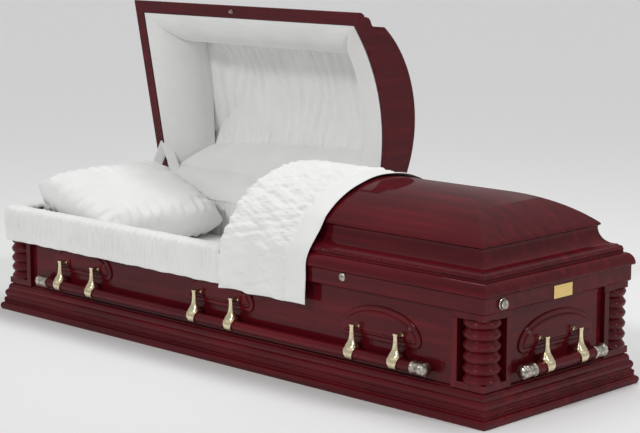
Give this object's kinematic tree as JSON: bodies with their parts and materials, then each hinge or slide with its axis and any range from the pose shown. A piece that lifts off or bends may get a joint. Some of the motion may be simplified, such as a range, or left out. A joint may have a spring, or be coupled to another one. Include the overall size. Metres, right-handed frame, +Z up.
{
  "type": "funeral casket",
  "caption": "Half-couch hardwood casket with a hinged head lid and foot lid, moulded base, turned corner columns, bar handles and a white cloth interior.",
  "frame": {"origin": "middle of the underside of the floor board, level with the foot of the base moulding", "axes": "+X towards the foot end, -Y towards the front with +Y at the hinges, +Z up"},
  "size_m": [2.15, 0.895, 1.0251],
  "materials": {
    "cherry_wood": "high-gloss dark cherry lacquer",
    "dark_wood": "sealed, plain",
    "white_velvet": "soft white crepe and velvet",
    "antique_brass": "pale antique brass, satin",
    "silver_fittings": "antique silver with relief",
    "gold_plate": "polished"
  },
  "bodies": {
    "casket": {"floor_board": "dark_wood", "base_moulding": "cherry_wood", "side_front": "cherry_wood", "side_back": "cherry_wood", "end_head": "cherry_wood", "end_foot": "cherry_wood", "top_rail": "cherry_wood", "corner_post_front_head": "cherry_wood", "corner_post_front_foot": "cherry_wood", "corner_post_back_foot": "cherry_wood", "corner_post_back_head": "cherry_wood", "corner_column_front_head": "cherry_wood", "corner_column_front_foot": "cherry_wood", "corner_column_back_foot": "cherry_wood", "corner_column_back_head": "cherry_wood", "plaque_front_1": "cherry_wood", "plaque_front_2": "cherry_wood", "plaque_front_3": "cherry_wood", "plaque_back_1": "cherry_wood", "plaque_back_2": "cherry_wood", "plaque_back_3": "cherry_wood", "plaque_head": "cherry_wood", "plaque_foot": "cherry_wood", "handle_bar_front": "cherry_wood", "handle_bar_back": "cherry_wood", "handle_bar_head": "cherry_wood", "handle_bar_foot": "cherry_wood", "handle_arm_front_1": "antique_brass", "handle_arm_front_2": "antique_brass", "handle_arm_front_3": "antique_brass", "handle_arm_front_4": "antique_brass", "handle_arm_front_5": "antique_brass", "handle_arm_front_6": "antique_brass", "handle_arm_back_1": "antique_brass", "handle_arm_back_2": "antique_brass", "handle_arm_back_3": "antique_brass", "handle_arm_back_4": "antique_brass", "handle_arm_back_5": "antique_brass", "handle_arm_back_6": "antique_brass", "handle_arm_head_1": "antique_brass", "handle_arm_head_2": "antique_brass", "handle_arm_foot_1": "antique_brass", "handle_arm_foot_2": "antique_brass", "lid_lock": "silver_fittings", "record_tube_cap": "silver_fittings", "name_plate": "gold_plate", "body_lining": "white_velvet", "bed_mattress": "white_velvet", "pillow": "white_velvet", "apron": "white_velvet", "hinge_body_leaf": "antique_brass"},
    "head_lid": {"head_lid_shell": "cherry_wood", "head_lid_header": "cherry_wood", "head_lid_lining": "white_velvet", "head_hinge_leaf": "antique_brass"},
    "foot_lid": {"foot_lid_shell": "cherry_wood", "foot_lid_header": "cherry_wood", "foot_lid_lining": "white_velvet", "foot_hinge_leaf": "antique_brass", "overlay_cloth": "white_velvet"}
  },
  "joints": [
    {"name": "head_lid_hinge", "type": "hinge", "parent": "casket", "child": "head_lid", "pos_m": [0, 0.3615, 0.3345], "axis": [-1, 0, 0], "range_deg": [-79.83, 0], "deforming": ["pillow", "apron"]},
    {"name": "foot_lid_hinge", "type": "hinge", "parent": "casket", "child": "foot_lid", "pos_m": [0, 0.3615, 0.3345], "axis": [-1, 0, 0], "range_deg": [0, 79.83], "deforming": ["overlay_cloth"]}
  ]
}
